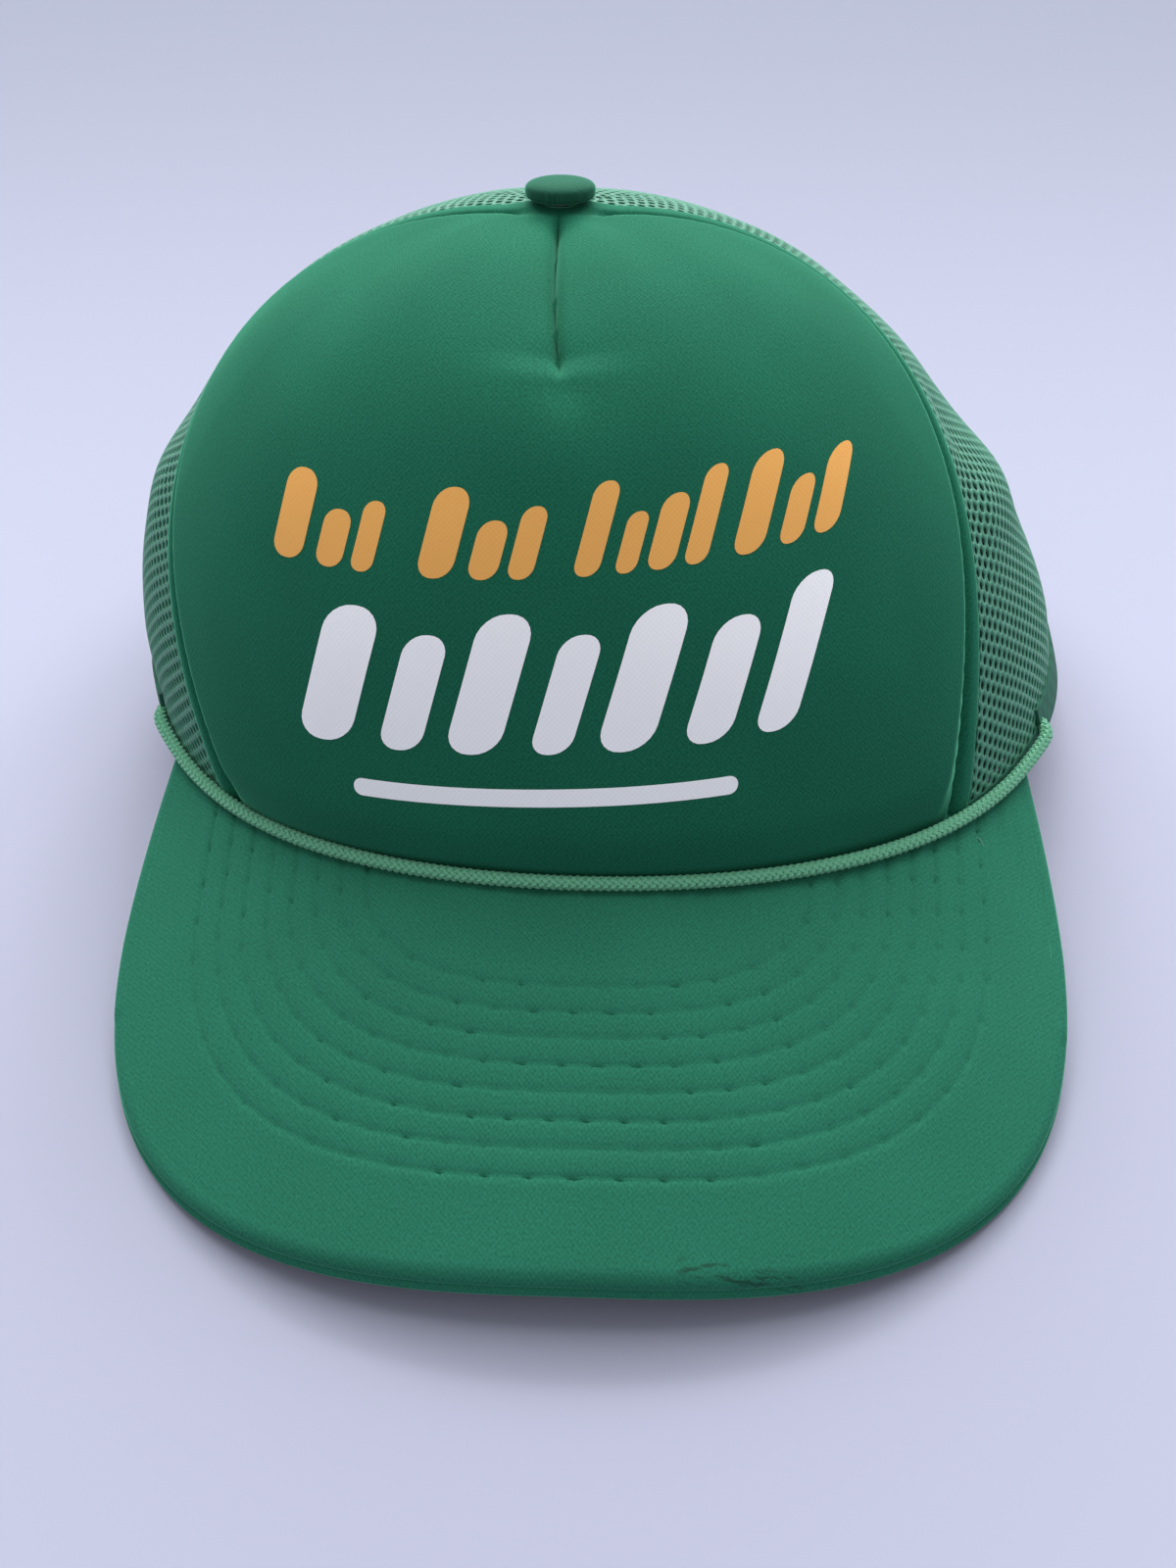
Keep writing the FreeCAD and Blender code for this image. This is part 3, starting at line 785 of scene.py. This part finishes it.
def inset_at(x, y):
    """How far inside the visor's edge a plan point lies, on the lines that brim draws."""
    low, high = -2.0, 66.0
    for _ in range(18):
        inset = (low + high) / 2
        half = VISOR_HALF_WIDTH - inset
        if y < VISOR_WIDEST_Y:
            deep = VISOR_WIDEST_Y - VISOR_FRONT_Y - inset * SLOPE_SHARE
            outside = ((abs(x) / half) ** VISOR_SQUARENESS
                       + ((VISOR_WIDEST_Y - y) / max(deep, 0.1)) ** VISOR_SQUARENESS) > 1
        else:
            corner_x = corner_at(inset)
            k = min((y - VISOR_WIDEST_Y) / 45.0, 1.0)
            outside = abs(x) > half + (corner_x - half) * k ** 1.6
        if outside:
            high = inset
        else:
            low = inset
    return inset


def hole_gap(x, y, row):
    """Distance along a row to its nearest needle hole."""
    spacing = 8.2 if row == 0 else 7.0
    along = math.atan2(x, -(y + 60.0)) * (86.0 - ROW_PITCH * row) / spacing + 0.37 * row
    return abs(along - round(along)) * spacing


def visor_relief(x, y):
    inset = inset_at(x, y)
    number = min(max(round((inset - FIRST_ROW_INSET) / ROW_PITCH), 0), ROWS - 1)
    off = inset - FIRST_ROW_INSET - ROW_PITCH * number
    groove = -0.36 * bell(off, 0.42)
    pucker = -0.55 * bell(off, 0.7) * bell(hole_gap(x, y, number), 0.7)
    quilted = turn(inset, 12, 16) * (1 - turn(inset, 52, 56))
    pillow = 0.07 * math.cos(2 * math.pi * off / ROW_PITCH + math.pi) * quilted
    root = math.hypot(x / HALF_WIDTH, y / FRONT_DEPTH) * FRONT_DEPTH - FRONT_DEPTH
    gather = 0.45 * noise.noise(Vector((x * 0.42, 0.05 * y, 3.1))) * bell(root - 3, 7.0)
    soft = 0.18 * noise.noise(Vector((x * 0.06, y * 0.06, 8.0)))
    return groove + pucker + pillow + gather + soft


def visor_top(x, y):
    return Vector((x, y, visor_z(x, y) - 0.1 + visor_relief(x, y)))


FLAT_ROWS = 110
EDGE_ROWS = 22


def visor_point(u, v):
    t = 2 * u - 1
    row = v * (FLAT_ROWS + EDGE_ROWS)
    rim = brim(t, EDGE[0][0])
    if row <= FLAT_ROWS:
        root = oval(CORNER * t, -VISOR_TUCK)
        share = row / FLAT_ROWS
        return visor_top(root[0] + (rim[0] - root[0]) * share, root[1] + (rim[1] - root[1]) * share)
    place = (row - FLAT_ROWS) / EDGE_ROWS * (len(EDGE) - 1)
    k = min(int(place), len(EDGE) - 2)
    mix = place - k
    inset, drop = [a + (b - a) * mix for a, b in zip(EDGE[k], EDGE[k + 1])]
    x, y = brim(t, inset)
    ahead = EDGE[0][0] - inset if y < -100 else 0
    return Vector((x, y, visor_z(*rim) - VISOR_SLOPE * 0.9 * ahead - drop))


def visor_cloth(u, v):
    spot = visor_point(u, v)
    below_top = visor_z(spot.x, spot.y) - spot.z
    return spot.x * 1.02, spot.y * 1.08 - below_top


visor_knit = knit("visor_knit", (0.014, 0.126, 0.075), fade=0.06)
where, (u, v, _) = visor_knit.place("UV")
patch = visor_knit.ramp(u, 18, 21) * visor_knit.ramp(u, 43, 39) * visor_knit.ramp(v, -173, -171)
scratch, _ = visor_knit.place("UV", (0.25, 1.0, 1.0))
rubbed = visor_knit.ramp(visor_knit.grain(scratch, 1.1), 0.50, 0.62) * patch * visor_knit.ramp(v, -167, -169)
plain = Wire(visor_knit, visor_knit.shader.inputs["Base Color"].links[0].from_socket)
visor_knit.set("Base Color", visor_knit.mix(rubbed * 0.75, plain, (0.010, 0.045, 0.030)))
visor_piece = make(mould(grid(300, FLAT_ROWS + EDGE_ROWS), visor_point, visor_cloth), "visor_cloth",
                   visor_knit, wall=0.7)
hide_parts("visor_top_cloth")
dress("visor_under_cloth", plain_cloth("visor_under", (0.017, 0.108, 0.068), 800.0))
dress("visor_board", Finish("board", (0.55, 0.56, 0.55), 0.6))

rows_mesh = bmesh.new()
for number in range(ROWS):
    inset = FIRST_ROW_INSET + ROW_PITCH * number
    low, high = 0.2, 1.0
    for _ in range(16):
        t = (low + high) / 2
        x, y = brim(t, inset)
        buried = math.hypot(x / (HALF_WIDTH + 2), y / (FRONT_DEPTH + 2)) < 1
        low, high = (low, t) if buried else (t, high)

    def row_line(s, inset=inset, number=number, end=low):
        x, y = brim((2 * s - 1) * end, inset)
        dip = 0.42 * bell(hole_gap(x, y, number), 0.6)
        return visor_top(x, y) + Vector((0, 0, 0.30 - dip))

    tube(rows_mesh, row_line, 0.17, 340, 5)
stitches = make(rows_mesh, "visor_threads", thread, weld=1e-7)
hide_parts("visor_stitching")

# ==== Rope =====================================================================================
# Eight-strand braided polyester rope, 2.8 mm thick, lying in the angle between crown and visor.

ROPE_SIDE = [(16.5, -93.5, 3.3), (32.6, -89.8, 2.4), (47.8, -83.7, 1.2), (61.8, -75.5, 0.0),
             (74.1, -65.3, -0.8), (84.5, -53.3, -0.9), (92.7, -40.0, 0.2)]
ROPE_LAY = 6.0
STRAND_RADIUS = 0.52
STRAND_REACH = 0.80
STRAND_WEAVE = 0.24
SHADE_TUBE_RADIUS = 0.72
ROPE_END = [(95.6, -33.6, 1.2), (92.6, -30.2, 1.5)]    # the rope dives into the hem
half = ROPE_SIDE + ROPE_END
route = [(-x, y, z) for x, y, z in reversed(half)] + [(0.0, -94.7, 3.6)] + half

route_curve = bpy.data.curves.new("rope_route", "CURVE")
route_curve.dimensions = "3D"
spline = route_curve.splines.new("NURBS")
spline.points.add(len(route) - 1)
for knot, place in zip(spline.points, route):
    knot.co = (*place, 1)
spline.order_u = 3
spline.use_endpoint_u = True
spline.resolution_u = 24
route_item = bpy.data.objects.new("rope_route", route_curve)
scene.collection.objects.link(route_item)
bpy.context.view_layer.update()
traced = bpy.data.meshes.new_from_object(route_item)
rope_path = [v.co.copy() for v in traced.vertices]
bpy.data.objects.remove(route_item)
rope_marks = [0.0]
for a, b in zip(rope_path, rope_path[1:]):
    rope_marks.append(rope_marks[-1] + (b - a).length)
rope_length = rope_marks[-1]


def rope_middle(t):
    """Point of the rope's middle; t is 0 and 1 at its ends."""
    reach = min(max(t, 0.0), 1.0) * rope_length
    k = min(max(bisect.bisect_right(rope_marks, reach) - 1, 0), len(rope_path) - 2)
    share = (reach - rope_marks[k]) / (rope_marks[k + 1] - rope_marks[k])
    return rope_path[k].lerp(rope_path[k + 1], share)


def strand(direction, start):
    def line(t):
        ahead = (rope_middle(t + 0.002) - rope_middle(t - 0.002)).normalized()
        aside = ahead.cross(Vector((0, 0, 1))).normalized()
        up = aside.cross(ahead)
        laid = 2 * math.pi * t * rope_length / ROPE_LAY
        reach = STRAND_REACH + direction * STRAND_WEAVE * math.cos(4 * laid)
        angle = direction * laid + start
        return rope_middle(t) + (aside * math.cos(angle) + up * math.sin(angle)) * reach
    return line


rope_yarn = Finish("rope_braid", (0.14, 0.54, 0.31), 0.6, sheen_weight=0.15)
where, _ = rope_yarn.place("Object", (1000, 1000, 1000))
fibres = rope_yarn.grain(where, 2.2, 3.0)
rope_yarn.set("Base Color", rope_yarn.mix(fibres, (0.065, 0.27, 0.155), (0.115, 0.38, 0.225)))
rope_yarn.bump(fibres, 0.3, 0.0001)
rope_mesh = bmesh.new()
for number in range(8):
    direction = 1 if number % 2 else -1
    tube(rope_mesh, strand(direction, (number // 2) * math.pi / 2), STRAND_RADIUS, 1050, 5)
# A very dark tube along the rope's middle, inside the braid: painted shade that shows in the gaps between
# the strands.
rope_shade_mesh = bmesh.new()
tube(rope_shade_mesh, rope_middle, SHADE_TUBE_RADIUS, 200, 8)
make(rope_shade_mesh, "rope_middle", Finish("rope_middle", (0.008, 0.06, 0.035), 0.8), weld=1e-7)
rope_piece = make(rope_mesh, "rope_braid", rope_yarn, weld=1e-7)
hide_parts("rope")

tail_mesh = bmesh.new()
tube(tail_mesh, lambda t: visor_top(75.0 + 4.2 * t + 0.8 * math.sin(3 * t), -64.6 - 3.4 * t * t)
     + Vector((0, 0, 0.25 + 0.6 * math.sin(math.pi * t))), 0.16, 30)
make(tail_mesh, "loose_thread_end", thread, weld=1e-7)

# ==== Button ===================================================================================
# A flat metal button covered in knit, riveted through the crown's top; the knit's colour is darker than the
# crown's, painted shade for the button's face. It sits a little further back than square to the crown.

BUTTON_RADIUS = 6.9
BUTTON_HEIGHT = 3.9
BUTTON_LIFT = 1.9
BUTTON_TILT = math.radians(6.0)

button_mesh = bmesh.new()
bmesh.ops.create_uvsphere(button_mesh, u_segments=72, v_segments=36, radius=1.0)
uv = button_mesh.loops.layers.uv.new("cloth")
for face in button_mesh.faces:
    for loop in face.loops:
        spot = loop.vert.co
        loop[uv].uv = (spot.x * BUTTON_RADIUS * 1.2, spot.y * BUTTON_RADIUS * 1.2)
seat = skin(0.0, math.pi / 2)
button_place = Matrix.Translation(seat) @ Matrix.Rotation(-BUTTON_TILT, 4, "X")
for vert in button_mesh.verts:
    flat = math.hypot(vert.co.x, vert.co.y)
    angle = math.atan2(flat, vert.co.z)
    out = abs(math.sin(angle)) ** 0.62 * BUTTON_RADIUS
    roundness = 0.72 if vert.co.z > 0 else 0.4
    level = math.copysign(abs(math.cos(angle)) ** roundness, math.cos(angle)) * BUTTON_HEIGHT / 2
    across = vert.co.x / max(flat, 1e-6), vert.co.y / max(flat, 1e-6)
    spot = Vector((across[0] * out, across[1] * out, BUTTON_LIFT + BUTTON_HEIGHT / 2 + level))
    vert.co = stand @ (button_place @ spot)
# Darker copy of the crown's knit: the darkening is painted shade.
button_shaded_knit = knit("button_shaded_knit", (0.008, 0.066, 0.040))
button_piece = make(button_mesh, "button_cloth", button_shaded_knit)
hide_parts("button_cover", "button_shell")
metal = Finish("button_metal", (0.22, 0.23, 0.22), 0.45, metallic=1.0)
dress("button_rivet", metal)

# ==== Rear closure =============================================================================
# Two moulded plastic straps that snap together across the rear opening, each sewn to the hem by
# two rows of bar tacks.

strap_plastic = Finish("strap_plastic", (0.015, 0.108, 0.065), 0.38, specular_ior_level=0.5)
where, _ = strap_plastic.place("Object", (1000, 1000, 1000))
strap_plastic.bump(strap_plastic.grain(where, 2.0), 0.12, 0.0001)
for node in ("hole_strap", "peg_strap", "hole_strap_tab", "peg_strap_tab"):
    dress(node, strap_plastic)


def back_point(x, tau, lift):
    """Point of the crown's back that is seen at x from behind."""
    w = math.sin(tau)
    belly = math.sin(math.pi * w)
    width = HALF_WIDTH * (1 - SIDE_WAIST * belly) * math.cos(tau)
    return crown(math.pi - math.asin((x + SWAY * w + SAG * belly) / width), tau, lift)


STRIP_LOW = rise(4.3)
STRIP_HIGH = rise(20.7)

for side, body, word in ((-1, "hole_strap_end", "hole"), (1, "peg_strap_end", "peg")):
    def flex_point(u, v):
        return back_point(side * (39.8 + 5.4 * u), STRIP_LOW + (STRIP_HIGH - STRIP_LOW) * v, -1.82)

    strip_mesh = mould(grid(20, 8), flex_point)
    bmesh.ops.recalc_face_normals(strip_mesh, faces=strip_mesh.faces)
    outward = sum((face.normal for face in strip_mesh.faces), Vector()).y > 0
    strip = make(strip_mesh, word + "_strap_flex_strip", strap_plastic, body=None,
                 wall=1.36, side=-1.0 if outward else 1.0)
    mid = rise(12.5)
    stand @ back_point(side * 43.2, mid, -2.5)
    stand @ back_point(side * 40.6, mid, -2.5)
    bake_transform(strip)
for node in ("strap_tack_left", "strap_tack_right"):
    dress(node, thread)
